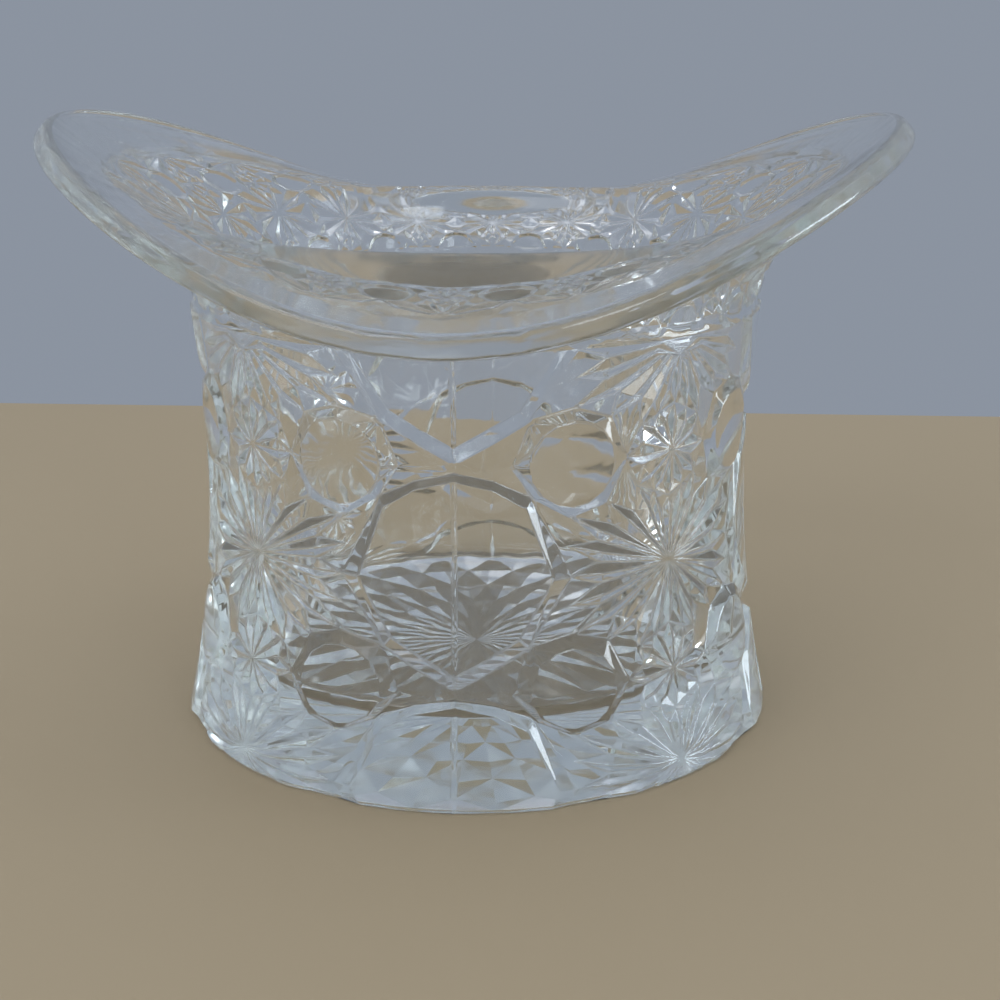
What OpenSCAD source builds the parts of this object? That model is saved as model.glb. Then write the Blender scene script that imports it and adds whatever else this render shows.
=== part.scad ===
// Pressed glass top hat: a cup that stands on the hat's flat top, with the brim uppermost.
// Millimetres, +Z up. The origin is the middle of the base. The mould seam and the low part of
// the brim face -Y, and the two raised tips of the brim point along -X and +X.

/* [Crown] */
// Diameter of the edge that the crown stands on
base_d = 56.6; // [50:0.5:62]
// Diameter of the crown at its waist
waist_d = 50.9; // [47:0.1:54]
// Height of the waist above the table
waist_z = 24.7; // [21:0.1:30]
// Height at which the crown runs into the brim
neck_z = 39.3; // [36:0.1:44]
// Thickness of the wall at the waist, over the pattern
wall_t = 3.2; // [2.4:0.1:4.5]
// Draft of the bore, in degrees from upright
bore_draft = 2; // [0.5:0.1:3]
// Thickness of the solid floor
floor_t = 5.8; // [4:0.1:8]
// Radius of the corner between the floor and the wall
floor_fillet = 2.5; // [1:0.1:4]

/* [Pattern] */
// Pairs of motifs round the crown, a plain button and a daisy in each pair
motif_pairs = 4; // [3:1:6]
// Rows of motifs up the crown
motif_rows = 2; // [1:1:3]
// Depth of the pressed pattern
relief = 0.7; // [0.2:0.05:1]
// Height of the lowest crossing between plain buttons
low_cross_z = 10; // [8:0.1:12]
// Width of the bevel round a plain button, as a share of the button
button_bevel = 0.16; // [0.05:0.01:0.2]
// Radius of a round button, as a share of the pattern's half pitch
dot_size = 0.37; // [0.25:0.01:0.42]
// Height of the bevelled edge under the pattern
foot_edge = 0.7; // [0.4:0.1:1.5]
// Rays of the star pressed into the underside
star_rays = 24; // [12:2:32]
// Rings that break the star's rays
star_rings = 5; // [1:1:8]
// Depth of the star's rays at their outer ends
star_depth = 0.4; // [0.3:0.1:1.5]
// Length of the slope at the outer end of a ray
star_end = 1.5; // [0.5:0.1:3]
// Width of the plain ring round the star
star_margin = 3; // [2:0.1:6]

/* [Brim] */
// Reach of the brim past the neck, in front and behind
front_reach = 12; // [10:0.1:15]
// Reach of the brim past the neck, at the raised tips
side_reach = 12.9; // [11:0.1:16]
// Height of the rim above the neck, in front and behind
front_rise = 2.8; // [1:0.1:6]
// Height of the rim above the neck, at the raised tips
side_rise = 15.6; // [10:0.1:19]
// Slope of the brim at the rim, in front and behind, in degrees
front_slope = -20; // [-30:1:0]
// Slope of the brim at the rim, at the raised tips, in degrees
side_slope = 42; // [30:1:55]
// Thickness of the rim
rim_t = 2.3; // [1.6:0.1:3.2]
// Width of the smooth band along the rim, in front and behind
front_band = 2.8; // [1.5:0.1:5]
// Width of the smooth band along the rim, at the raised tips
side_band = 4.4; // [2:0.1:6]
// Pull of the inside bend, upwards from the neck, in front and behind
front_bend = 10; // [8:0.1:12]
// Pull of the inside bend, upwards from the neck, at the raised tips
side_bend = 7; // [4:0.1:10]
// Pull of the outside bend, upwards from the neck
neck_bend = 4.8; // [3:0.1:7]
// Daisies round the underside of the brim, with a round button after each
brim_motifs = 20; // [12:1:28]
// Depth of the pressed pattern under the brim
brim_relief = 0.45; // [0.1:0.05:0.7]

/* [Hidden] */
glass = [0.84, 0.88, 0.87];

base_r = base_d / 2;
waist_r = waist_d / 2;
column_step = 90 / motif_pairs;
foot_r = base_r - relief / 2;
bend_steps = 10;
edge_steps = 6;
brim_columns = 2 * brim_motifs;
brim_rows = 2;
brim_steps = 2 * brim_columns;
pattern_margin = 0.04;
saddle_fullness = 0.35;
bend_balance = 1.15;
fillet_steps = 6;
cut = 1;

// Radius of the crown's outside at a height: a shallow curve drawn in at the waist
function crown_r(z) = waist_r + (base_r - waist_r) * pow((z - waist_z) / waist_z, 2);

// Radius of the bore at a height
function bore_r(z) = waist_r - wall_t + (z - waist_z) * tan(bore_draft);

neck_r = crown_r(neck_z) - relief / 2;
throat_r = bore_r(neck_z);
fillet_z = floor_t + floor_fillet;
floor_r = bore_r(fillet_z) - floor_fillet;
star_r = foot_r - star_margin;

function mix(a, b, t) = a + (b - a) * t;

// A point at an angle from the front, counted towards the right tip
function around(angle, r, z) = [r * sin(angle), -r * cos(angle), z];

// One tile of the pattern reaches from the middle of a plain button to the middle of the daisy
// beside it, and half a row up. A point is [half columns, half rows, share of the relief].
cross_point = [0, 1, -1];
meeting = [1, 0, -0.6];
dot_left = [0.48, 1, -0.7];
dot_foot = [1, 0.52, -1];
dot_heel = [1.35, 0.62, -1];
dot_right = [1.52, 1, -0.7];
star_heel = [1.64, 0.74, -0.7];
star_foot = [2, 0.58, -0.5];
daisy_middle = [2, 0, -0.35];
petal_share = 0.72;
petal_ridge = [2 - petal_share, 0, 0];
petal_groove = -0.9;
meeting_half = (meeting + dot_foot) / 2;
star_half = (star_heel + star_foot) / 2;

// The border of a plain button from its side to its end: blunt at the top, pointed at the bottom
blunt_end = [[0.66, 0.72, -1], [0.34, 0.87, -1], [0, 0.945, -1]];
pointed_end = [[0.63, 0.61, -1], [0.32, 0.8, -1], [0, 0.985, -1]];

function fan(apex, edge) = [for (i = [0:len(edge) - 2]) [apex, edge[i], edge[i + 1]]];

function band(inner, outer) = [
    for (i = [0:len(inner) - 2])
    each [[inner[i], outer[i], outer[i + 1]], [inner[i], outer[i + 1], inner[i + 1]]]
];

// A strip between an edge and a ring that has two steps for each of the edge's
function double_band(edge, ring) = [
    for (i = [0:len(edge) - 2])
    each [
        [edge[i], ring[2 * i + 1], ring[2 * i]],
        [edge[i], edge[i + 1], ring[2 * i + 1]],
        [edge[i + 1], ring[2 * i + 2], ring[2 * i + 1]]
    ]
];

// Plain button: a flat face with a bevelled border
function plain_button(border_end) =
    let (
        middle = [0, 0, 0],
        border = concat([meeting], border_end),
        face = [for (p = border) [p.x * (1 - button_bevel), p.y * (1 - button_bevel), 0]]
    )
    concat(fan(middle, face), band(face, border));

// Round button: a low dome in an eight-sided cell, of which the tile has the lower half
function round_button(shoulder) =
    let (
        middle = [1, 1, 0.4],
        border = [dot_left, shoulder, dot_foot, dot_heel, dot_right],
        steps = 2 * (len(border) - 1),
        ring = [
            for (i = [0:steps])
            let (a = 180 + 180 * i / steps)
            [1 + dot_size * cos(a), i == 0 || i == steps ? 1 : 1 + dot_size * sin(a), 0]
        ]
    )
    concat(fan(middle, ring), double_band(border, ring));

// Daisy: petals between ridges that sink towards the middle
function daisy() =
    let (
        border = [meeting, meeting_half, dot_foot, dot_heel, star_heel, star_half, star_foot],
        petal = [
            for (i = [0:len(border) - 1])
            let (p = mix(daisy_middle, border[i], petal_share))
            [p.x, p.y, i % 2 == 0 ? petal_ridge.z : petal_groove]
        ]
    )
    concat(fan(daisy_middle, petal), band(petal, border));

// Small star: a low point between the daisies, and the facets that fill the corners
function small_star() = fan([2, 1, 0], [dot_right, star_heel, star_half, star_foot]);
function corner_facets(border_end) = concat(
    fan(border_end[0], [meeting, meeting_half, dot_foot]),
    fan(dot_left, [cross_point, border_end[2], border_end[1], border_end[0]]),
    [[dot_heel, star_heel, dot_right]]
);

// The tile's line at the foot and at the neck
tile_line = [
    [0, 0, 0], [meeting.x * (1 - button_bevel), 0, 0], meeting, petal_ridge, daisy_middle
];

// Every triangle is halved along its sides, so that the wide facets follow the round wall
function halved(triangles) = [
    for (t = triangles)
    let (ab = (t[0] + t[1]) / 2, bc = (t[1] + t[2]) / 2, ca = (t[2] + t[0]) / 2)
    each [[t[0], ab, ca], [ab, t[1], bc], [ca, bc, t[2]], [ab, bc, ca]]
];
function halved_line(line) = concat(
    [for (i = [0:len(line) - 2]) each [line[i], (line[i] + line[i + 1]) / 2]],
    [line[len(line) - 1]]
);

// All triangles run the same way round
function turned(t) =
    (t[1].x - t[0].x) * (t[2].y - t[0].y) > (t[2].x - t[0].x) * (t[1].y - t[0].y)
    ? t : [t[0], t[2], t[1]];

function motifs(border_end) = concat(
    plain_button(border_end), round_button(border_end[0]), daisy(), small_star(),
    corner_facets(border_end)
);
function tile(border_end) = [for (t = halved(motifs(border_end))) turned(t)];
tiles = [tile(blunt_end), tile(pointed_end)];
tiles_round = 2 * motif_pairs;
tiles_up = 2 * motif_rows;

// Height of a half row: the lowest one is a little shorter than the others
function row_z(row) =
    row < 1 ? mix(foot_edge, low_cross_z, row) : mix(low_cross_z, neck_z, (row - 1) / (tiles_up - 1));

// A tile's point on the crown. Every second tile is the mirror image of the one beside it
function on_crown(p, across, up) =
    let (
        column = across % 2 == 0 ? 2 * across + p.x : 2 * across + 2 - p.x,
        row = up % 2 == 0 ? up + p.y : up + 1 - p.y,
        z = row_z(row)
    )
    around(column == 4 * motif_pairs ? 0 : column * column_step, crown_r(z) + p.z * relief, z);

function crown_line(up) = [
    for (across = [0:tiles_round - 1])
    let (line = halved_line(tile_line), last = len(line) - 1)
    for (i = [0:last - 1]) on_crown(line[across % 2 == 0 ? i : last - i], across, up)
];

function level(points, z, r) = [
    for (p = points)
    let (size = norm([p.x, p.y]))
    [p.x * r / size, p.y * r / size, z]
];

module crown_body() {
    skin = [
        for (up = [0:tiles_up - 1])
        for (across = [0:tiles_round - 1])
        for (t = tiles[up % 2])
        let (s = [for (p = t) on_crown(p, across, up)])
        each (across + up) % 2 == 0 ? [s[0], s[2], s[1]] : s
    ];
    low_line = crown_line(0);
    high_line = crown_line(tiles_up);
    foot_line = level(low_line, 0, foot_r);
    count = len(low_line);
    skin_count = len(skin);
    low_first = skin_count;
    foot_first = low_first + count;
    high_first = foot_first + count;
    foot_faces = [
        for (i = [0:count - 1])
        let (next = (i + 1) % count)
        each [
            [foot_first + i, low_first + i, low_first + next],
            [foot_first + i, low_first + next, foot_first + next]
        ]
    ];
    polyhedron(
        points = concat(skin, low_line, foot_line, high_line),
        faces = concat(
            [for (i = [0:3:skin_count - 3]) [i, i + 1, i + 2]],
            foot_faces,
            [[for (i = [0:count - 1]) foot_first + i]],
            [[for (i = [count - 1:-1:0]) high_first + i]]
        )
    );
}

module bore() {
    corner = [
        for (i = [0:fillet_steps])
        let (a = 270 + 90 * i / fillet_steps)
        [floor_r + floor_fillet * cos(a), fillet_z + floor_fillet * sin(a)]
    ];
    top = neck_z + cut;
    rotate_extrude($fn = 96)
        polygon(concat([[0, -cut], [floor_r, -cut]], corner, [[bore_r(top), top], [0, top]]));
}

module crown() {
    color(glass) difference() {
        crown_body();
        bore();
        underside_star();
    }
}

// Star of shallow rays that meet in the middle. Rings break the rays: a groove goes on as a ridge
// beyond each ring. The outline of the star lies in the resting plane
function star_ring(k) =
    let (share = (k + 1) / star_rings)
    [
        for (i = [0:2 * star_rays - 1])
        let (z = star_depth / 2 * (1 + ((i + k) % 2 == 0 ? share : -share)))
        around(180 * i / star_rays, (star_r - star_end) * share, z)
    ];

function star_outline(z) = [for (i = [0:2 * star_rays - 1]) around(180 * i / star_rays, star_r, z)];

module underside_star() {
    count = 2 * star_rays;
    rings = concat([for (k = [0:star_rings - 1]) star_ring(k)], [star_outline(0), star_outline(-cut)]);
    last = (len(rings) - 1) * count;
    polyhedron(
        points = concat([[0, 0, star_depth / 2], [0, 0, -cut]], [for (r = rings) each r]),
        faces = [
            for (i = [0:count - 1])
            let (here = 2 + i, next = 2 + (i + 1) % count)
            each concat(
                [[0, next, here], [1, here + last, next + last]],
                [
                    for (k = [0:len(rings) - 2])
                    let (
                        a = here + k * count,
                        b = next + k * count,
                        c = a + count,
                        d = b + count,
                        groove = (i + k) % 2 == 0
                    )
                    each [[a, b, groove ? d : c], [groove ? a : b, d, c]]
                ]
            )
        ]
    );
}

module base() {
    color(glass) difference() {
        cylinder(h = floor_t, r = floor_r, $fn = 96);
        underside_star();
    }
}

// The brim is low in front and behind, and rises at the two sides: 0 at the front, 1 at a tip
function lift(angle) = let (s = pow(sin(angle), 2)) s * (1 + saddle_fullness * (1 - s));
function across_brim(front, side, angle) = mix(front, side, lift(angle));

function brim_way(angle) =
    let (slope = across_brim(front_slope, side_slope, angle))
    [cos(slope), sin(slope)];
function brim_up(angle) = let (way = brim_way(angle)) [-way.y, way.x];

function rim_middle(angle) = [
    neck_r + across_brim(front_reach, side_reach, angle) - rim_t / 2,
    neck_z + across_brim(front_rise, side_rise, angle)
];
function band_start(angle, side) =
    rim_middle(angle) - brim_way(angle) * across_brim(front_band, side_band, angle)
    + brim_up(angle) * side * rim_t / 2;

function bezier(p, t) =
    p[0] * pow(1 - t, 3) + p[1] * 3 * t * pow(1 - t, 2) + p[2] * 3 * t * t * (1 - t) + p[3] * pow(t, 3);
function bezier_way(p, t) =
    let (d = (p[1] - p[0]) * pow(1 - t, 2) + (p[2] - p[1]) * 2 * t * (1 - t) + (p[3] - p[2]) * t * t)
    d / norm(d);

function outer_bend(angle) =
    let (start = [neck_r, neck_z], end = band_start(angle, -1))
    [start, start + [0, neck_bend], end - brim_way(angle) * neck_bend, end];
function inner_bend(angle) =
    let (
        start = [throat_r, neck_z],
        end = band_start(angle, 1),
        pull = across_brim(front_bend, side_bend, angle)
    )
    [start, start + [0, pull], end - brim_way(angle) * pull * bend_balance, end];

// The pattern goes on under the brim with smaller tiles, which have the daisy and half of the
// round button and leave the plain button out
brim_tile = [for (t = motifs(blunt_end)) if (min(t[0].x, t[1].x, t[2].x) >= 1) turned(t)];
brim_line = [daisy_middle, petal_ridge, meeting];

function on_brim(p, across, up) =
    let (
        column = across % 2 == 0 ? across + 2 - p.x : across + p.x - 1,
        row = up % 2 == 0 ? up + p.y : up + 1 - p.y,
        angle = column == brim_columns ? 0 : column * 360 / brim_columns,
        curve = outer_bend(angle),
        t = mix(pattern_margin, 1 - pattern_margin, row / brim_rows),
        way = bezier_way(curve, t),
        place = bezier(curve, t) + [way.y, -way.x] * p.z * brim_relief
    )
    around(angle, place.x, place.y);

function pattern_ring(up) = [
    for (across = [0:brim_columns - 1])
    for (i = [0:1]) on_brim(brim_line[across % 2 == 0 ? i : 2 - i], across, up)
];
function step_angle(j) = 360 * j / brim_steps;
function inner_ring(i) = [
    for (j = [0:brim_steps - 1])
    let (p = bezier(inner_bend(step_angle(j)), i / bend_steps))
    around(step_angle(j), p.x, p.y)
];
function band_ring(side) = [
    for (j = [0:brim_steps - 1])
    let (p = band_start(step_angle(j), side))
    around(step_angle(j), p.x, p.y)
];
function neck_ring() = [for (j = [0:brim_steps - 1]) around(step_angle(j), neck_r, neck_z)];

function rim_section(angle) =
    let (middle = rim_middle(angle), way = brim_way(angle), up = brim_up(angle))
    concat(
        [band_start(angle, -1)],
        [
            for (i = [0:edge_steps])
            let (a = -90 + 180 * i / edge_steps)
            middle + (way * cos(a) + up * sin(a)) * rim_t / 2
        ],
        [band_start(angle, 1)]
    );

module brim() {
    skin = [
        for (up = [0:brim_rows - 1])
        for (across = [0:brim_columns - 1])
        for (t = brim_tile)
        let (s = [for (p = t) on_brim(p, across, up)])
        each (across + up) % 2 == 1 ? [s[0], s[2], s[1]] : s
    ];
    rings = concat(
        [pattern_ring(brim_rows), band_ring(-1)],
        [for (i = [bend_steps:-1:0]) inner_ring(i)],
        [neck_ring(), pattern_ring(0)]
    );
    first = len(skin);
    color(glass) polyhedron(
        points = concat(skin, [for (r = rings) each r]),
        faces = concat(
            [for (i = [0:3:first - 3]) [i, i + 1, i + 2]],
            [
                for (k = [0:len(rings) - 2])
                for (j = [0:brim_steps - 1])
                let (
                    here = first + k * brim_steps,
                    there = here + brim_steps,
                    next = (j + 1) % brim_steps
                )
                each [[here + j, there + j, there + next], [here + j, there + next, here + next]]
            ]
        )
    );
}

module rim() {
    sections = [for (j = [0:brim_steps - 1]) rim_section(step_angle(j))];
    size = len(sections[0]);
    color(glass) polyhedron(
        points = [
            for (j = [0:brim_steps - 1])
            for (p = sections[j]) around(step_angle(j), p.x, p.y)
        ],
        faces = [
            for (j = [0:brim_steps - 1])
            for (k = [0:size - 1])
            let (
                here = j * size,
                there = (j + 1) % brim_steps * size,
                next = (k + 1) % size
            )
            each k == size - 1
                ? [[here + k, here + next, there + k], [here + next, there + next, there + k]]
                : [[here + k, here + next, there + next], [here + k, there + next, there + k]]
        ]
    );
}

base();
crown();
brim();
rim();
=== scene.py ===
import math

import bpy
import numpy as np
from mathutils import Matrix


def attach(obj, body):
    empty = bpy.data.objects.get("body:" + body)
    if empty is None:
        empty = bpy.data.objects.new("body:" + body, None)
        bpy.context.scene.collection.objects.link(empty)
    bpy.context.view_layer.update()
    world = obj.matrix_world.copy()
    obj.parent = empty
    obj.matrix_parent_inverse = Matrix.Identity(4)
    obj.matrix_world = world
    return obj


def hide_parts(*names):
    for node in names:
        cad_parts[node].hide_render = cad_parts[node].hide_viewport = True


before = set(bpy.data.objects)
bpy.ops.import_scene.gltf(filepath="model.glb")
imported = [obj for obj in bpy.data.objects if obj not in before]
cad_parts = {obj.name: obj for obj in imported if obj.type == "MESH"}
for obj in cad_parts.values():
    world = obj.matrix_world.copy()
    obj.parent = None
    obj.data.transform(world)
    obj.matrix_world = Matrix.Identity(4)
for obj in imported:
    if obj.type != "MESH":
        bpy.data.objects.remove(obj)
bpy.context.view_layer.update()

# Metres in a millimetre
MM = 0.001

# Sizes in millimetres and slopes, the same as the solids'
BASE_R = 28.3
WAIST_R = 25.45
WAIST_Z = 24.7
NECK_Z = 39.3
WALL_T = 3.2
BORE_DRAFT = math.radians(2)
FLOOR_T = 5.8
FLOOR_FILLET = 2.5
RELIEF = 0.7
LOW_ROW_Z = 10.0
STAR_DEPTH = 0.4
FRONT_REACH, SIDE_REACH = 12.0, 12.9
FRONT_RISE, SIDE_RISE = 2.8, 15.6
FRONT_SLOPE, SIDE_SLOPE = math.radians(-20), math.radians(42)
RIM_T = 2.3
FRONT_BAND, SIDE_BAND = 2.8, 4.4
FRONT_BEND, SIDE_BEND = 10.0, 7.0
NECK_BEND = 4.8

# Shares of the brim's form, the same as the solids'
BEND_BALANCE = 1.15
SADDLE_FULLNESS = 0.35

# Finer sizes of the pressed surface, in millimetres
LOW_ROW_STEP = 8.5
FOOT_EDGE = 0.45
FOOT_BEVEL = 0.35
STAR_END = 2.0
STAR_MARGIN = 0.6
BRIM_RELIEF = 0.5
CROWN_ROUNDING = 0.16
BRIM_ROUNDING = 0.12
RIM_CORNER = 0.8
BAND_STEP = 0.25
BAND_STEP_WIDTH = 0.5

# Shares: rings along the star's rays, the part of the brim's curve with the pattern, rings of
# points between the neck and that part, rings across the floor, and the length of the brim's
# pattern against its reach
STAR_RINGS = (0.2, 0.4, 0.6, 0.8, 1.0)
BRIM_PATTERN = (0.1, 0.96)
NECK_RINGS = (0.25, 0.75)
FLOOR_RINGS = (0.66, 0.33)
BRIM_LENGTH = 1.2

# Counts
MOTIF_PAIRS = 4
MOTIF_ROWS = 2
BRIM_MOTIFS = 20
BRIM_ROWS = 3
STAR_RAYS = 24
DOT_STEPS = 8
SMOOTH_STEPS = 192
BEND_STEPS = 28
CORNER_STEPS = 7
BORE_STEPS = 8
FILLET_STEPS = 8

# Limits of the mesh: facets that turn by less are one smooth face, edges that turn by less are
# one straight line, a facet shrinks by no more than a share of its inner circle, and smaller
# facets are left out
CREASE_COSINE = math.cos(math.radians(3))
STRAIGHT_SINE = 0.05
MOST_INSET = 0.6
TINY_AREA = 1e-7

# Points on one step of a grid are one point: steps for each millimetre of a part, and for each
# metre of the mesh
GRID = 1e4
MESH_GRID = 2e7

# How far a point may be from an edge, and an angle from the front, what keeps a vector of no
# length from a division by zero, and the step over which a surface's slope is found
EDGE_TOLERANCE = 1e-6
TURN_TOLERANCE = 1e-7
NO_LENGTH = 1e-30
SLOPE_STEP = 0.01

# A column and a row of the pattern are half a motif wide and high
COLUMN_TURN = 2 * math.pi / (4 * MOTIF_PAIRS)
COLUMN_STEP = COLUMN_TURN * BASE_R
ROW_STEP = (NECK_Z - LOW_ROW_Z) / (2 * MOTIF_ROWS - 1)
BRIM_COLUMNS = 2 * BRIM_MOTIFS
BRIM_TURN = 2 * math.pi / BRIM_COLUMNS
BRIM_STEP = BRIM_TURN * (WAIST_R + FRONT_REACH / 2)
BRIM_ROW_STEP = BRIM_LENGTH * (FRONT_REACH - FRONT_BAND) / BRIM_ROWS


def crown_r(z):
    return WAIST_R + (BASE_R - WAIST_R) * ((z - WAIST_Z) / WAIST_Z) ** 2


def bore_r(z):
    return WAIST_R - WALL_T + (z - WAIST_Z) * math.tan(BORE_DRAFT)


NECK_R = crown_r(NECK_Z) - RELIEF / 2
THROAT_R = bore_r(NECK_Z)
FILLET_Z = FLOOR_T + FLOOR_FILLET
FLOOR_R = bore_r(FILLET_Z) - FLOOR_FILLET
STAR_R = BASE_R - RELIEF / 2 - STAR_MARGIN


def around(angle, r, z):
    """Points at angles from the front, counted towards the right tip."""
    angle, r, z = np.broadcast_arrays(angle, r, z)
    return np.stack([r * np.sin(angle), -r * np.cos(angle), z], axis=-1)


def unit(vectors):
    return vectors / (np.linalg.norm(vectors, axis=-1, keepdims=True) + NO_LENGTH)


def grid_keys(points, steps):
    return np.round(points * steps).astype(np.int64)


def grouped(keys):
    """The first row of each group of equal keys, and the group of every row."""
    return np.unique(keys, axis=0, return_index=True, return_inverse=True)[1:]


# The pattern's tile. A point is (columns, rows, share of the relief): the tile goes from the
# middle of a plain button to the middle of the daisy beside it, and half a motif up or down.
CROSS = np.array([0, 1, -1.0])
MEETING = np.array([1, 0, -0.6])
DOT_LEFT = np.array([0.48, 1, -0.7])
DOT_FOOT = np.array([1, 0.52, -1.0])
DOT_HEEL = np.array([1.35, 0.62, -1.0])
DOT_RIGHT = np.array([1.52, 1, -0.7])
STAR_HEEL = np.array([1.64, 0.74, -0.7])
STAR_FOOT = np.array([2, 0.58, -0.5])
MEETING_HALF = (MEETING + DOT_FOOT) / 2
STAR_HALF = (STAR_HEEL + STAR_FOOT) / 2
DAISY_MIDDLE = np.array([2, 0, -0.35])
SMALL_STAR_MIDDLE = np.array([2, 1, -0.1])

# A round button's radius, a ring on its dome as (share of that radius, height), and its top
DOT_SIZE = 0.38
DOME_RING = (0.6, 0.2)
DOME_TOP = 0.3

# Half the width of the mould seam, and its height
SEAM_WIDTH = 0.016
SEAM_HEIGHT = 0.16

# Petals of the daisies and small stars: how far they reach, how deep the grooves between them
# are, and the steps of their ring for each step of the motif's border
PETAL_REACH = 0.72
PETAL_GROOVE = -0.85
CROWN_PETAL_STEPS = 2
BRIM_PETAL_STEPS = 1

# A plain button's border from its side to its end: the upper end is blunt, the lower one pointed
BLUNT_END = [np.array(p) for p in ((0.66, 0.72, -1.0), (0.34, 0.87, -1.0), (0, 0.945, -1.0))]
POINTED_END = [np.array(p) for p in ((0.63, 0.61, -1.0), (0.32, 0.80, -1.0), (0, 0.985, -1.0))]

# Width of the bevel along that border, as a share of the button
BLUNT_BEVEL = (0.16, 0.1, 0.06, 0.05)
POINTED_BEVEL = (0.16, 0.16, 0.16, 0.16)


def fan(apex, edge):
    return [(apex, a, b) for a, b in zip(edge, edge[1:])]


def band(inner, outer):
    made = []
    for a, b, c, d in zip(inner, inner[1:], outer, outer[1:]):
        made += [(a, c, d), (a, d, b)]
    return made


def collar(edge, ring):
    """A strip between an edge and a ring that has several steps for each of the edge's."""
    steps = (len(ring) - 1) // (len(edge) - 1)
    half = steps // 2
    made = []
    for i, (a, b) in enumerate(zip(edge, edge[1:])):
        part = ring[i * steps:(i + 1) * steps + 1]
        made += fan(a, part[:half + 1]) + [(a, b, part[half])] + fan(b, part[half:])
    return made


def plain_button(border_end, bevel):
    """A flat face with a bevelled border, and half of the mould seam down its middle."""
    border = [MEETING] + border_end
    face = [p * (1 - b) * (1, 1, 0) for p, b in zip(border, bevel)]
    beside_low = np.array([SEAM_WIDTH, 0, 0])
    beside_high = face[3] + (face[2] - face[3]) * SEAM_WIDTH / face[2][0]
    seam_low = np.array([0, 0, SEAM_HEIGHT])
    seam_high = face[3] + seam_low
    made = fan(beside_low, face[:3] + [beside_high])
    made += [(seam_low, beside_low, beside_high), (seam_low, beside_high, seam_high)]
    made += band(face[:3], border[:3])
    return made + fan(border[3], [border[2], face[2], beside_high, seam_high])


def dome_ring(size, height):
    """The lower half of a ring round the round button's middle."""
    ring = []
    for i in range(DOT_STEPS + 1):
        a = math.pi * (1 + i / DOT_STEPS)
        x = 1 if 2 * i == DOT_STEPS else 1 + DOT_SIZE * size * math.cos(a)
        y = 1 if i in (0, DOT_STEPS) else 1 + DOT_SIZE * size * math.sin(a)
        ring.append(np.array([x, y, height]))
    return ring


def round_collar(shoulder):
    """The facets between a round button's dome and its neighbours."""
    border = [DOT_LEFT, shoulder, DOT_FOOT, DOT_HEEL, DOT_RIGHT]
    return collar(border, dome_ring(1, 0))


def round_dome():
    """A low dome, of which the tile has the lower half."""
    inner = dome_ring(*DOME_RING)
    return band(inner, dome_ring(1, 0)) + fan(np.array([1, 1, DOME_TOP]), inner)


def petals(middle, border, steps):
    """Facets round a middle, with ridges and grooves by turns on a ring inside the border."""
    ring = []
    for i in range((len(border) - 1) * steps + 1):
        j = min(i // steps, len(border) - 2)
        edge = border[j] + (border[j + 1] - border[j]) * (i / steps - j)
        place = middle + (edge - middle) * PETAL_REACH
        place[2] = PETAL_GROOVE if i % 2 else 0
        ring.append(place)
    return fan(middle, ring) + collar(border, ring)


def daisy(steps):
    border = [MEETING, MEETING_HALF, DOT_FOOT, DOT_HEEL, STAR_HEEL, STAR_HALF, STAR_FOOT]
    return petals(DAISY_MIDDLE, border, steps)


def small_star(steps):
    border = [DOT_RIGHT, STAR_HEEL, STAR_HALF, STAR_FOOT]
    return petals(SMALL_STAR_MIDDLE, border, steps)


def corner_facets(border_end):
    """The small facets left between the motifs."""
    shoulder, side, end = border_end
    made = fan(shoulder, [MEETING, MEETING_HALF, DOT_FOOT])
    made += fan(DOT_LEFT, [CROSS, end, side, shoulder])
    return made + [(DOT_HEEL, STAR_HEEL, DOT_RIGHT)]


def tile(border_end, bevel, petal_steps):
    creased = plain_button(border_end, bevel)
    creased += round_collar(border_end[0]) + corner_facets(border_end)
    creased += daisy(petal_steps) + small_star(petal_steps)
    return np.array(creased + round_dome())


def dome_flags(triangles):
    """Which of a tile's triangles are a dome's, and so are smooth."""
    return np.arange(len(triangles)) >= len(triangles) - len(round_dome())


TILES = (
    tile(BLUNT_END, BLUNT_BEVEL, CROWN_PETAL_STEPS),
    tile(POINTED_END, POINTED_BEVEL, CROWN_PETAL_STEPS),
)
BRIM_TILE = tile(BLUNT_END, BLUNT_BEVEL, BRIM_PETAL_STEPS)

# The brim's pattern has the half of the tile with the daisy, and no plain buttons
IN_BRIM = BRIM_TILE[..., 0].min(axis=1) >= 1


def flat_pattern(tiles, width, columns, rows, size):
    """The tiles repeated and mirrored, as triangles of (across, up, height) in millimetres."""
    skin = []
    for up in rows:
        for across in range(columns):
            x, y, height = np.moveaxis(tiles[up % 2], -1, 0)
            x = width - x if across % 2 else x
            y = 1 - y if up % 2 else y
            skin.append(np.stack([width * across + x, up + y, height], axis=-1))
    return np.concatenate(skin) * size


def clipped(facets, soft, low):
    """The part of a flat pattern above a level."""
    made, flags = [], []
    for triangle, flag in zip(facets, soft):
        kept = []
        for a, b in zip(triangle, np.roll(triangle, -1, axis=0)):
            if a[1] >= low:
                kept.append(a)
            if (a[1] >= low) != (b[1] >= low):
                under, over = sorted((a, b), key=lambda p: p[1])
                kept.append(under + (over - under) * (low - under[1]) / (over[1] - under[1]))
        pieces = fan(kept[0], kept[1:]) if kept else []
        made += pieces
        flags += [flag] * len(pieces)
    return np.array(made), np.array(flags)


def flat_area(facets):
    """Twice the area of each facet in the flat, negative where it is turned over."""
    ab, ac = facets[:, 1] - facets[:, 0], facets[:, 2] - facets[:, 0]
    return ab[:, 0] * ac[:, 1] - ab[:, 1] * ac[:, 0]


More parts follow.
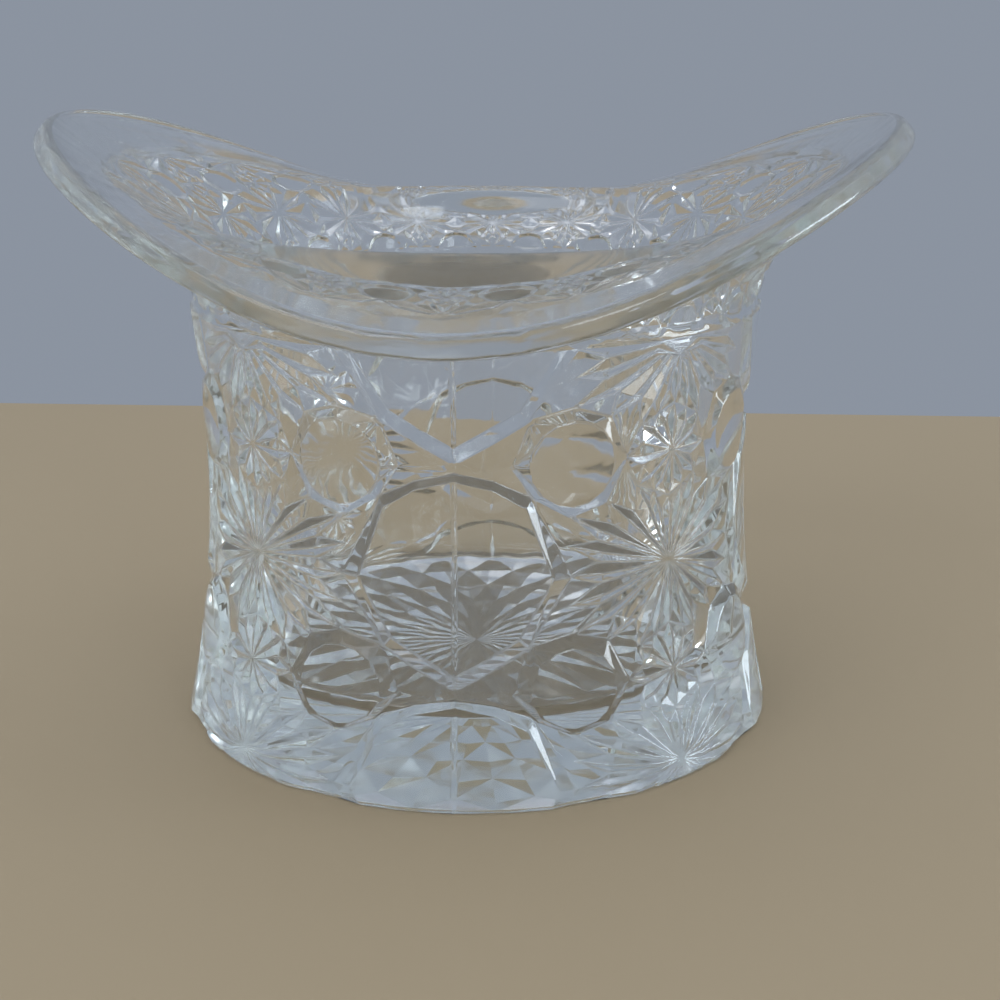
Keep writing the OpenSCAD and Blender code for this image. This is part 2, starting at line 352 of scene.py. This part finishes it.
def slopes_of(facets):
    """How each flat facet's height changes across and up."""
    ab, ac = facets[:, 1] - facets[:, 0], facets[:, 2] - facets[:, 0]
    area = flat_area(facets)
    across = (ab[:, 2] * ac[:, 1] - ac[:, 2] * ab[:, 1]) / area
    up = (ac[:, 2] * ab[:, 0] - ab[:, 2] * ac[:, 0]) / area
    return np.stack([across, up], axis=-1)


def corner_step(one, two, gap_one, gap_two):
    """The step inwards from a corner that leaves a gap along each of its two edges."""
    one, two = one / np.linalg.norm(one), two / np.linalg.norm(two)
    sine = one[0] * two[1] - one[1] * two[0]
    if abs(sine) > STRAIGHT_SINE:
        return (gap_two * one + gap_one * two) / sine
    if one @ two < 0:
        return max(gap_one, gap_two) * np.array([-one[1], one[0]])
    return np.zeros(2)


def rounded_pattern(facets, soft, period, width):
    """A flat pattern with a narrow strip along each crease, as fire polish rounds pressed glass.

    Each facet shrinks away from its creases, and strips and small caps fill the gaps. The corners
    that come back are (across, up, height, slope across, slope up), for smooth normals.
    """
    area = flat_area(facets)
    facets = np.where((area < 0)[:, None, None], facets[:, ::-1], facets)
    keep = np.abs(area) > TINY_AREA
    facets, soft, area = facets[keep], soft[keep], np.abs(area[keep])
    slopes = slopes_of(facets)
    sides = np.linalg.norm((np.roll(facets, -1, axis=1) - facets)[..., :2], axis=-1)
    inset = np.minimum(width, MOST_INSET * area / sides.sum(axis=1))

    # Points by number, and the facet and corner at which each edge starts
    keys = grid_keys(facets[..., :2].reshape(-1, 2), GRID)
    keys[:, 0] %= round(period * GRID)
    ids = grouped(keys)[1].reshape(-1, 3)
    edge_at = {}
    for f, corners in enumerate(ids):
        for k in range(3):
            edge_at[corners[k], corners[(k + 1) % 3]] = f, k

    normals = unit(np.concatenate([-slopes, np.ones((len(slopes), 1))], axis=1))

    def across_edge(f, k):
        """The facet and corner across the edge from corner k of facet f, and if it is a crease."""
        other = edge_at.get((ids[f][(k + 1) % 3], ids[f][k]))
        if other is None:
            return None, True
        smooth = (soft[f] and soft[other[0]]) or normals[f] @ normals[other[0]] > CREASE_COSINE
        return other, not smooth

    # A sector is a point's facets from one crease to the next. They keep one corner in common.
    sector_of, sectors, rings = {}, [], {}
    for f0 in range(len(ids)):
        for k0 in range(3):
            if (f0, k0) in sector_of:
                continue
            # Back to the crease that starts this sector, and then on to the one that ends it
            f, k = f0, k0
            while True:
                other, crease = across_edge(f, k)
                if crease:
                    break
                f, k = other[0], (other[1] + 1) % 3
                if (f, k) == (f0, k0):
                    break
            whole = not crease
            first, first_border = (f, k), crease and other is None
            members = []
            while True:
                members.append((f, k))
                other, end_crease = across_edge(f, (k + 2) % 3)
                if end_crease or (other == first and whole):
                    break
                f, k = other
            last, last_border = (f, k), end_crease and other is None
            here = facets[first[0], first[1]]
            slope = slopes[[m[0] for m in members]].mean(axis=0)
            step = np.zeros(2)
            if not whole:
                one = (facets[first[0], (first[1] + 1) % 3] - here)[:2]
                two = (facets[last[0], (last[1] + 2) % 3] - facets[last[0], last[1]])[:2]
                gap = inset[[m[0] for m in members]].min()
                step = corner_step(one, two, gap * (not first_border), gap * (not last_border))
            point = np.concatenate([here[:2] + step, [here[2] + slope @ step], slope])
            for f, k in members:
                sector_of[f, k] = len(sectors)
            rings.setdefault(ids[first[0]][first[1]], []).append((first, last, len(sectors)))
            sectors.append(point)

    def near(point, mark):
        """The same point, in the repeat of the pattern that the mark is in."""
        shift = round((mark[0] - point[0]) / period) * period
        return point + np.array([shift, 0, 0, 0, 0])

    # The facets, and the strips along their creases
    made = []
    for f in range(len(ids)):
        corner = [near(sectors[sector_of[f, k]], facets[f, 0]) for k in range(3)]
        made.append(corner)
        for k in range(3):
            other, crease = across_edge(f, k)
            if other is None or not crease or other[0] < f:
                continue
            far_end = near(sectors[sector_of[other]], corner[0])
            far_start = near(sectors[sector_of[other[0], (other[1] + 1) % 3]], corner[0])
            start, end = corner[k], corner[(k + 1) % 3]
            made += [(far_start, far_end, end), (far_start, end, start)]

    # The caps, where three or more sectors meet
    for around_point in rings.values():
        if len(around_point) < 3:
            continue
        by_start = {ids[f][(k + 1) % 3]: (last, s) for (f, k), last, s in around_point}
        ends = {ids[f][(k + 2) % 3] for _, (f, k), _ in around_point}
        start = next((a for a in by_start if a not in ends), next(iter(by_start)))
        order = []
        for _ in around_point:
            (f, k), s = by_start[start]
            order.append(near(sectors[s], sectors[around_point[0][2]]))
            start = ids[f][(k + 2) % 3]
        middle = np.mean(order, axis=0)
        made += [(middle, a, b) for a, b in zip(order, order[1:] + order[:1])]
    return np.array(made)


def halved(triangles):
    """Every triangle split in four, so that wide facets follow the round wall."""
    a, b, c = triangles[:, 0], triangles[:, 1], triangles[:, 2]
    ab, bc, ca = (a + b) / 2, (b + c) / 2, (c + a) / 2
    parts = [(a, ab, ca), (ab, b, bc), (ca, bc, c), (ab, bc, ca)]
    return np.concatenate([np.stack(p, axis=1) for p in parts])


def wrapped(pattern, place):
    """A rounded flat pattern on its surface: the points, and their normals from the slopes."""
    x, y, h, across, up = np.moveaxis(pattern, -1, 0)
    d = SLOPE_STEP
    along_x = place(x + d, y, h + d * across) - place(x - d, y, h - d * across)
    along_y = place(x, y + d, h + d * up) - place(x, y - d, h - d * up)
    return place(x, y, h), unit(np.cross(along_x, along_y))


def edge_ring(points, heights, value):
    """The points of a wrapped pattern along one of its two edges, each of them once."""
    ring = points.reshape(-1, 3)[np.abs(heights.reshape(-1) - value) < EDGE_TOLERANCE]
    return ring[grouped(grid_keys(ring, GRID))[0]]


def on_crown(x, y, h):
    """Where points of the crown's flat pattern go."""
    row = y / ROW_STEP
    z = LOW_ROW_Z + (row - 1) * np.where(row < 1, LOW_ROW_STEP, ROW_STEP)
    return around(x / COLUMN_STEP * COLUMN_TURN, crown_r(z) + h, z)


def lifted(front, side, angle):
    """A value of the brim, which is low in front and behind and rises at the two sides."""
    s = np.sin(angle) ** 2
    return front + (side - front) * s * (1 + SADDLE_FULLNESS * (1 - s))


def brim_way(angle):
    """The way outwards along the brim's plain band, as (out, up)."""
    slope = lifted(FRONT_SLOPE, SIDE_SLOPE, angle)
    return np.stack([np.cos(slope), np.sin(slope)], axis=-1)


def quarter_left(way):
    return np.stack([-way[..., 1], way[..., 0]], axis=-1)


def rim_middle(angle):
    """The middle of the rim, half its thickness in from the edge."""
    r = NECK_R + lifted(FRONT_REACH, SIDE_REACH, angle) - RIM_T / 2
    z = NECK_Z + lifted(FRONT_RISE, SIDE_RISE, angle)
    return np.stack([r, z], axis=-1)


def band_start(angle, side):
    """Where the plain band starts, under the brim (side -1) and on top of it (side 1)."""
    way = brim_way(angle)
    width = lifted(FRONT_BAND, SIDE_BAND, angle)[..., None]
    return rim_middle(angle) - way * width + quarter_left(way) * side * RIM_T / 2


def bend(angle, start_r, end, pull, end_pull):
    """Control points of the brim's curve from the neck to its plain band, at angles."""
    start = np.broadcast_to([start_r, NECK_Z], end.shape)
    rise = np.stack([np.zeros_like(pull), pull], axis=-1)
    return start, start + rise, end - brim_way(angle) * end_pull[..., None], end


def outer_bend(angle):
    pull = np.full(np.shape(angle), NECK_BEND)
    return bend(angle, NECK_R, band_start(angle, -1), pull, pull)


def inner_bend(angle):
    pull = lifted(FRONT_BEND, SIDE_BEND, angle)
    way = brim_way(angle)
    end = band_start(angle, 1) - way * BAND_STEP_WIDTH - quarter_left(way) * BAND_STEP
    return bend(angle, THROAT_R, end, pull, pull * BEND_BALANCE)


def bezier(points, t):
    a, b, c, d = points
    t = np.asarray(t)[..., None]
    return a * (1 - t) ** 3 + b * 3 * t * (1 - t) ** 2 + c * 3 * t * t * (1 - t) + d * t ** 3


def bezier_way(points, t):
    a, b, c, d = points
    t = np.asarray(t)[..., None]
    return unit((b - a) * (1 - t) ** 2 + (c - b) * 2 * t * (1 - t) + (d - c) * t * t)


def on_brim(x, y, h):
    """Where points of the flat pattern under the brim go."""
    angle = x / BRIM_STEP * BRIM_TURN
    low, high = BRIM_PATTERN
    t = low + (high - low) * (y / BRIM_ROW_STEP - 1) / BRIM_ROWS
    curve = outer_bend(angle)
    place = bezier(curve, t) - quarter_left(bezier_way(curve, t)) * h[..., None]
    return around(angle, place[..., 0], place[..., 1])


def ring_of(turn, profile):
    return around(turn, profile[..., 0], profile[..., 1])


def stitched(low, high):
    """Triangles between two closed rings of points, from the low one to the high one."""
    def turns(ring):
        a = np.mod(np.arctan2(ring[:, 0], -ring[:, 1]) + TURN_TOLERANCE, 2 * math.pi)
        order = np.argsort(a, kind="stable")
        return ring[order], np.append(a[order], a[order][0] + 2 * math.pi)
    low, low_turn = turns(low)
    high, high_turn = turns(high)
    i = j = 0
    made = []
    while i < len(low) or j < len(high):
        here, there = low[i % len(low)], high[j % len(high)]
        if j == len(high) or (i < len(low) and low_turn[i + 1] <= high_turn[j + 1]):
            i += 1
            made.append((here, low[i % len(low)], there))
        else:
            j += 1
            made.append((here, high[j % len(high)], there))
    return np.array(made)


def face_normals(triangles):
    return np.cross(triangles[:, 1] - triangles[:, 0], triangles[:, 2] - triangles[:, 0])


def flat_part(triangles):
    """Triangles with their own normals at their corners."""
    return triangles, np.repeat(unit(face_normals(triangles))[:, None], 3, axis=1)


def smooth_part(triangles):
    """Triangles with normals shared at the points where they meet."""
    ids = grouped(grid_keys(triangles.reshape(-1, 3), GRID))[1].reshape(-1, 3)
    sums = np.zeros((ids.max() + 1, 3))
    for k in range(3):
        np.add.at(sums, ids[:, k], face_normals(triangles))
    return triangles, unit(sums)[ids]


def rings_part(rings):
    return smooth_part(np.concatenate([stitched(a, b) for a, b in zip(rings, rings[1:])]))


def underside_star():
    """Facets of the rays that meet in the middle of the underside, and the star's outline.

    Rings break the rays: a groove goes on as a ridge beyond each ring.
    """
    count = np.arange(2 * STAR_RAYS)
    turn = count * math.pi / STAR_RAYS
    rings = []
    for k, share in enumerate(STAR_RINGS):
        z = STAR_DEPTH / 2 * (1 + np.where((count + k) % 2, -share, share))
        rings.append(around(turn, (STAR_R - STAR_END) * share, z))
    rings.append(around(turn, STAR_R, 0))
    middle = np.broadcast_to([0, 0, STAR_DEPTH / 2], rings[0].shape)
    facets = [(middle, np.roll(rings[0], -1, axis=0), rings[0])]
    for k, (low, high) in enumerate(zip(rings, rings[1:])):
        low_next, high_next = np.roll(low, -1, axis=0), np.roll(high, -1, axis=0)
        groove = ((count + k) % 2 == 0)[:, None]
        facets.append((low, low_next, np.where(groove, high_next, high)))
        facets.append((np.where(groove, low, low_next), high_next, high))
    return np.concatenate([np.stack(f, axis=1) for f in facets]), rings[-1]


def rim_rings(turn):
    """From the underside's plain band round the rim's two corners to the band on top."""
    middle, way = rim_middle(turn), brim_way(turn)
    up = quarter_left(way)
    reach = RIM_T / 2 - RIM_CORNER
    rings = [ring_of(turn, band_start(turn, -1))]
    for side in (-1, 1):
        centre = middle + (way + side * up) * reach
        for a in np.linspace(0, math.pi / 2, CORNER_STEPS):
            a = a - math.pi / 2 if side < 0 else a
            spoke = way * math.cos(a) + up * math.sin(a)
            rings.append(ring_of(turn, centre + spoke * RIM_CORNER))
    return rings + [ring_of(turn, band_start(turn, 1))]


def inside_rings(turn):
    """Over the brim's top, down the bore and across the floor."""
    curve = inner_bend(turn)
    rings = []
    for t in np.linspace(1, 0, BEND_STEPS + 1):
        rings.append(ring_of(turn, bezier(curve, np.full(turn.shape, t))))
    for z in np.linspace(NECK_Z, FILLET_Z, BORE_STEPS + 1)[1:]:
        rings.append(around(turn, bore_r(z), z))
    for a in np.linspace(0, math.pi / 2, FILLET_STEPS + 1)[1:]:
        r = FLOOR_R + FLOOR_FILLET * math.cos(a)
        rings.append(around(turn, r, FILLET_Z - FLOOR_FILLET * math.sin(a)))
    for share in FLOOR_RINGS:
        rings.append(around(turn, FLOOR_R * share, FLOOR_T))
    return rings


def crown_part():
    """The crown's pattern, and the rings of points along its lower and upper edges."""
    low_edge = (1 - (LOW_ROW_Z - FOOT_EDGE) / LOW_ROW_STEP) * ROW_STEP
    rows = range(-1, 2 * MOTIF_ROWS)
    columns = 2 * MOTIF_PAIRS
    size = (COLUMN_STEP, ROW_STEP, RELIEF)
    facets = flat_pattern(TILES, 2, columns, rows, size)
    facets, soft = clipped(facets, np.tile(dome_flags(TILES[0]), columns * len(rows)), low_edge)
    flat = halved(rounded_pattern(facets, soft, 2 * columns * COLUMN_STEP, CROWN_ROUNDING))
    crown = wrapped(flat, on_crown)
    low_ring = edge_ring(crown[0], flat[..., 1], low_edge)
    return crown, low_ring, edge_ring(crown[0], flat[..., 1], 2 * MOTIF_ROWS * ROW_STEP)


def brim_part():
    """The pattern under the brim, and the rings of points along its inner and outer edges."""
    part = BRIM_TILE[IN_BRIM] * (-1, 1, 1) + (2, 0, 0)
    size = (BRIM_STEP, BRIM_ROW_STEP, BRIM_RELIEF)
    facets = flat_pattern((part, part), 1, BRIM_COLUMNS, range(1, BRIM_ROWS + 1), size)
    soft = np.tile(dome_flags(BRIM_TILE)[IN_BRIM], BRIM_COLUMNS * BRIM_ROWS)
    flat = rounded_pattern(facets, soft, BRIM_COLUMNS * BRIM_STEP, BRIM_ROUNDING)
    brim = wrapped(flat, on_brim)
    low_ring = edge_ring(brim[0], flat[..., 1], BRIM_ROW_STEP)
    return brim, low_ring, edge_ring(brim[0], flat[..., 1], (BRIM_ROWS + 1) * BRIM_ROW_STEP)


def glass_parts():
    """The whole closed skin, as (triangles, corner normals) parts."""
    turn = np.arange(SMOOTH_STEPS) * 2 * math.pi / SMOOTH_STEPS
    crown, crown_low, crown_high = crown_part()
    brim, brim_low, brim_high = brim_part()
    curve = outer_bend(turn)
    neck = []
    for share in NECK_RINGS:
        neck.append(ring_of(turn, bezier(curve, np.full(turn.shape, share * BRIM_PATTERN[0]))))
    inside = inside_rings(turn)
    floor_middle = np.broadcast_to([0, 0, FLOOR_T], inside[-1].shape)
    floor = np.stack([inside[-1], np.roll(inside[-1], -1, axis=0), floor_middle], axis=1)
    star, star_outline = underside_star()
    foot = crown_low * (1 - FOOT_BEVEL / BASE_R) * (1, 1, 0)
    return [
        flat_part(star),
        flat_part(stitched(star_outline, foot)),
        smooth_part(stitched(foot, crown_low)),
        crown,
        rings_part([crown_high] + neck + [brim_low]),
        brim,
        rings_part([brim_high] + rim_rings(turn) + inside),
        flat_part(floor),
    ]


def glass_mesh(name):
    """One closed mesh. A smooth normal that would turn away from its facet gives way to its own."""
    parts = glass_parts()
    soup = np.concatenate([p[0] for p in parts]) * MM
    normals = np.concatenate([p[1] for p in parts])
    facing = flat_part(soup)[1]
    turned_away = np.sum(facing * normals, axis=2, keepdims=True) <= 0
    normals = np.where(turned_away, facing, normals)
    points = soup.reshape(-1, 3)
    first, index = grouped(grid_keys(points, MESH_GRID))
    faces = index.reshape(-1, 3)
    whole = np.all(faces != np.roll(faces, -1, axis=1), axis=1)
    mesh = bpy.data.meshes.new(name)
    mesh.from_pydata(points[first].tolist(), [], faces[whole].tolist())
    mesh.polygons.foreach_set("use_smooth", [True] * len(mesh.polygons))
    mesh.normals_split_custom_set(normals[whole].reshape(-1, 3).tolist())
    return mesh


def add_node(tree, kind, **values):
    """A new node with its settings and its inputs' values, whose names have _ for a space."""
    node = tree.nodes.new(kind)
    for name, value in values.items():
        if hasattr(node, name):
            setattr(node, name, value)
        else:
            node.inputs[name.replace("_", " ")].default_value = value
    return node


def summed(tree, first, *others):
    """A node output with the sum of several, held to one at most."""
    for other in others:
        add = add_node(tree, "ShaderNodeMath", operation="ADD", use_clamp=True)
        tree.links.new(first, add.inputs[0])
        tree.links.new(other, add.inputs[1])
        first = add.outputs["Value"]
    return first


# Looks of the glass: the clouds of its polish and the waves of its surface are noise
GLASS_COLOUR = (0.99, 0.995, 0.995, 1)
GLASS_IOR = 1.5
TINT_COLOUR = (0.82, 0.93, 0.89, 1)
TINT_DENSITY = 8.0
CROWN_ROUGHNESS = 0.035
BRIM_ROUGHNESS = 0.1
UNDERSIDE_ROUGHNESS = 0.06
LEAST_POLISH, MOST_POLISH = 1.6, 0.4
CLOUD_SCALE = 220.0
WAVE_SCALE = 260.0
WAVE_STRENGTH = 0.07
WAVE_HEIGHT = 0.0004


def glass_material():
    """Clear pressed glass: faint green in the thick parts, slightly wavy and uneven in polish."""
    material = bpy.data.materials.new("pressed_glass")
    material.use_nodes = True
    tree = material.node_tree
    shader = tree.nodes["Principled BSDF"]
    shader.inputs["Base Color"].default_value = GLASS_COLOUR
    shader.inputs["Transmission Weight"].default_value = 1.0
    shader.inputs["IOR"].default_value = GLASS_IOR
    place = add_node(tree, "ShaderNodeTexCoord")
    cloud = add_node(tree, "ShaderNodeTexNoise", Scale=CLOUD_SCALE, Detail=3.0)
    polish = add_node(tree, "ShaderNodeMapRange", To_Min=MOST_POLISH, To_Max=LEAST_POLISH)
    height = add_node(tree, "ShaderNodeSeparateXYZ")
    softness = add_node(tree, "ShaderNodeMapRange", To_Min=CROWN_ROUGHNESS, To_Max=BRIM_ROUGHNESS)
    softness.inputs["From Min"].default_value = NECK_Z * MM
    softness.inputs["From Max"].default_value = (NECK_Z + FRONT_RISE) * MM
    worn = add_node(tree, "ShaderNodeMapRange", To_Min=UNDERSIDE_ROUGHNESS, To_Max=0.0)
    worn.inputs["From Min"].default_value = STAR_DEPTH * MM
    worn.inputs["From Max"].default_value = (STAR_DEPTH + FOOT_EDGE) * MM
    uneven = add_node(tree, "ShaderNodeMath", operation="MULTIPLY")
    wave = add_node(tree, "ShaderNodeTexNoise", Scale=WAVE_SCALE, Detail=2.0)
    bump = add_node(tree, "ShaderNodeBump", Strength=WAVE_STRENGTH, Distance=WAVE_HEIGHT)
    tree.links.new(place.outputs["Object"], cloud.inputs["Vector"])
    tree.links.new(place.outputs["Object"], wave.inputs["Vector"])
    tree.links.new(cloud.outputs["Fac"], polish.inputs["Value"])
    tree.links.new(place.outputs["Object"], height.inputs["Vector"])
    tree.links.new(height.outputs["Z"], softness.inputs["Value"])
    tree.links.new(height.outputs["Z"], worn.inputs["Value"])
    tree.links.new(polish.outputs["Result"], uneven.inputs[0])
    roughness = summed(tree, softness.outputs["Result"], worn.outputs["Result"])
    tree.links.new(roughness, uneven.inputs[1])
    tree.links.new(uneven.outputs["Value"], shader.inputs["Roughness"])
    tree.links.new(wave.outputs["Fac"], bump.inputs["Height"])
    tree.links.new(bump.outputs["Normal"], shader.inputs["Normal"])
    tint = add_node(tree, "ShaderNodeVolumeAbsorption", Density=TINT_DENSITY)
    tint.inputs["Color"].default_value = TINT_COLOUR
    tree.links.new(tint.outputs["Volume"], tree.nodes["Material Output"].inputs["Volume"])
    return material


hat = bpy.data.objects.new("glass_hat", glass_mesh("glass_hat"))
bpy.context.scene.collection.objects.link(hat)
hat.data.materials.append(glass_material())
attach(hat, "root")
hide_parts("base", "crown", "brim", "rim")

# Stage, in metres: a pale warm floor just under the hat, and a pale cool backdrop behind it
FLOOR_SIZE = 40
FLOOR_GAP = 0.00005
FLOOR_END = 0.121
FLOOR_COLOUR = (0.34, 0.285, 0.205, 1)
FLOOR_ROUGHNESS = 0.6
FLOOR_GLOSS = 0.15
BACKDROP_COLOUR = (0.26, 0.294, 0.352, 1)


def stage_material():
    """The floor, which beyond its end shows as the backdrop to the camera and in the glass."""
    material = bpy.data.materials.new("stage")
    material.use_nodes = True
    tree = material.node_tree
    shader = tree.nodes["Principled BSDF"]
    shader.inputs["Base Color"].default_value = FLOOR_COLOUR
    shader.inputs["Roughness"].default_value = FLOOR_ROUGHNESS
    shader.inputs["Specular IOR Level"].default_value = FLOOR_GLOSS
    glow = add_node(tree, "ShaderNodeEmission", Color=BACKDROP_COLOUR)
    place = add_node(tree, "ShaderNodeTexCoord")
    split = add_node(tree, "ShaderNodeSeparateXYZ")
    beyond = add_node(tree, "ShaderNodeMath", operation="GREATER_THAN")
    beyond.inputs[1].default_value = FLOOR_END
    ray = add_node(tree, "ShaderNodeLightPath")
    seen = [ray.outputs["Is " + kind + " Ray"] for kind in ("Camera", "Glossy", "Transmission")]
    pick = add_node(tree, "ShaderNodeMath", operation="MULTIPLY")
    mix = add_node(tree, "ShaderNodeMixShader")
    tree.links.new(place.outputs["Object"], split.inputs["Vector"])
    tree.links.new(split.outputs["Y"], beyond.inputs[0])
    tree.links.new(beyond.outputs["Value"], pick.inputs[0])
    tree.links.new(summed(tree, *seen), pick.inputs[1])
    tree.links.new(pick.outputs["Value"], mix.inputs[0])
    tree.links.new(shader.outputs["BSDF"], mix.inputs[1])
    tree.links.new(glow.outputs["Emission"], mix.inputs[2])
    tree.links.new(mix.outputs["Shader"], tree.nodes["Material Output"].inputs["Surface"])
    return material


bpy.ops.mesh.primitive_plane_add(size=FLOOR_SIZE, location=(0, 0, -FLOOR_GAP))
floor = bpy.context.object
floor.name = "floor"
floor.data.materials.append(stage_material())

# Lamps are aimed at the hat's middle. Places and sizes are in metres, and powers in watts.
LAMP_AIM = (0, 0, 0.03)


def area_light(name, place, size, power, colour):
    lamp = bpy.data.lights.new(name, "AREA")
    lamp.shape = "RECTANGLE"
    lamp.size, lamp.size_y = size
    lamp.energy = power
    lamp.color = colour
    obj = bpy.data.objects.new(name, lamp)
    obj.location = place
    way = np.array(LAMP_AIM) - np.array(place)
    obj.rotation_euler = (
        math.atan2(math.hypot(way[0], way[1]), -way[2]),
        0,
        math.atan2(way[1], way[0]) - math.pi / 2,
    )
    bpy.context.scene.collection.objects.link(obj)


area_light("window", (0.9, 0.04, 0.09), (0.4, 0.24), power=2.8, colour=(0.82, 0.92, 1.0))
area_light("front", (0.6, -1.0, 0.27), (0.4, 0.4), power=2.6, colour=(0.84, 0.93, 1.0))
area_light("fill", (-0.9, -1.35, 1.1), (1.2, 1.2), power=8.0, colour=(0.97, 0.98, 1.0))
area_light("overhead", (-0.1, 0.05, 0.8), (0.7, 0.7), power=0.4, colour=(1.0, 0.99, 0.97))

# The room's light on the stage, and its walls: the way to their lightest part, and how their
# strength goes with the facing to it
ROOM_COLOUR = (0.84, 0.84, 0.82, 1)
LIGHTEST_WAY = (0.0, -0.6, 0.8)
LEAST_FACING, FULL_FACING = -0.6, 1.0
LEAST_STRENGTH, FULL_STRENGTH = 1.0, 1.5


def room_light():
    """An even room that lights the stage from all sides.

    Its walls look like the backdrop to rays that no rough surface has scattered yet, and they
    are lighter above and in front.
    """
    world = bpy.data.worlds.new("room")
    world.use_nodes = True
    tree = world.node_tree
    ray = add_node(tree, "ShaderNodeLightPath")
    seen = add_node(tree, "ShaderNodeMath", operation="LESS_THAN")
    seen.inputs[1].default_value = 0.5
    mix = add_node(tree, "ShaderNodeMixShader")
    lit = tree.nodes["Background"]
    lit.inputs["Color"].default_value = ROOM_COLOUR
    walls = add_node(tree, "ShaderNodeBackground", Color=BACKDROP_COLOUR)
    place = add_node(tree, "ShaderNodeTexCoord")
    facing = add_node(tree, "ShaderNodeVectorMath", operation="DOT_PRODUCT")
    facing.inputs[1].default_value = LIGHTEST_WAY
    lighter = add_node(tree, "ShaderNodeMapRange", From_Min=LEAST_FACING, From_Max=FULL_FACING)
    lighter.inputs["To Min"].default_value = LEAST_STRENGTH
    lighter.inputs["To Max"].default_value = FULL_STRENGTH
    tree.links.new(place.outputs["Generated"], facing.inputs[0])
    tree.links.new(facing.outputs["Value"], lighter.inputs["Value"])
    tree.links.new(lighter.outputs["Result"], walls.inputs["Strength"])
    tree.links.new(ray.outputs["Diffuse Depth"], seen.inputs[0])
    tree.links.new(seen.outputs["Value"], mix.inputs[0])
    tree.links.new(lit.outputs["Background"], mix.inputs[1])
    tree.links.new(walls.outputs["Background"], mix.inputs[2])
    tree.links.new(mix.outputs["Shader"], tree.nodes["World Output"].inputs["Surface"])
    return world


bpy.context.scene.world = room_light()

# Enough bounces for the light that goes round inside the glass
bpy.context.scene.cycles.max_bounces = 32
bpy.context.scene.cycles.transmission_bounces = 32
bpy.context.scene.cycles.glossy_bounces = 16

# Camera at the photograph's place, for a square picture: metres, degrees and lens millimetres
CAMERA_PLACE = (0.0119, -0.1617, 0.0667)
CAMERA_TILT = 16.22
CAMERA_TURN = 3.41
CAMERA_LENS = 62.8
CAMERA_SENSOR = 36
CAMERA_NEAR = 0.01

camera = bpy.data.objects.new("camera", bpy.data.cameras.new("camera"))
camera.data.lens = CAMERA_LENS
camera.data.sensor_width = CAMERA_SENSOR
camera.location = CAMERA_PLACE
camera.rotation_euler = (math.radians(90 - CAMERA_TILT), 0, math.radians(CAMERA_TURN))
camera.data.clip_start = CAMERA_NEAR
bpy.context.scene.collection.objects.link(camera)
bpy.context.scene.camera = camera
bpy.context.scene.view_settings.view_transform = "Standard"
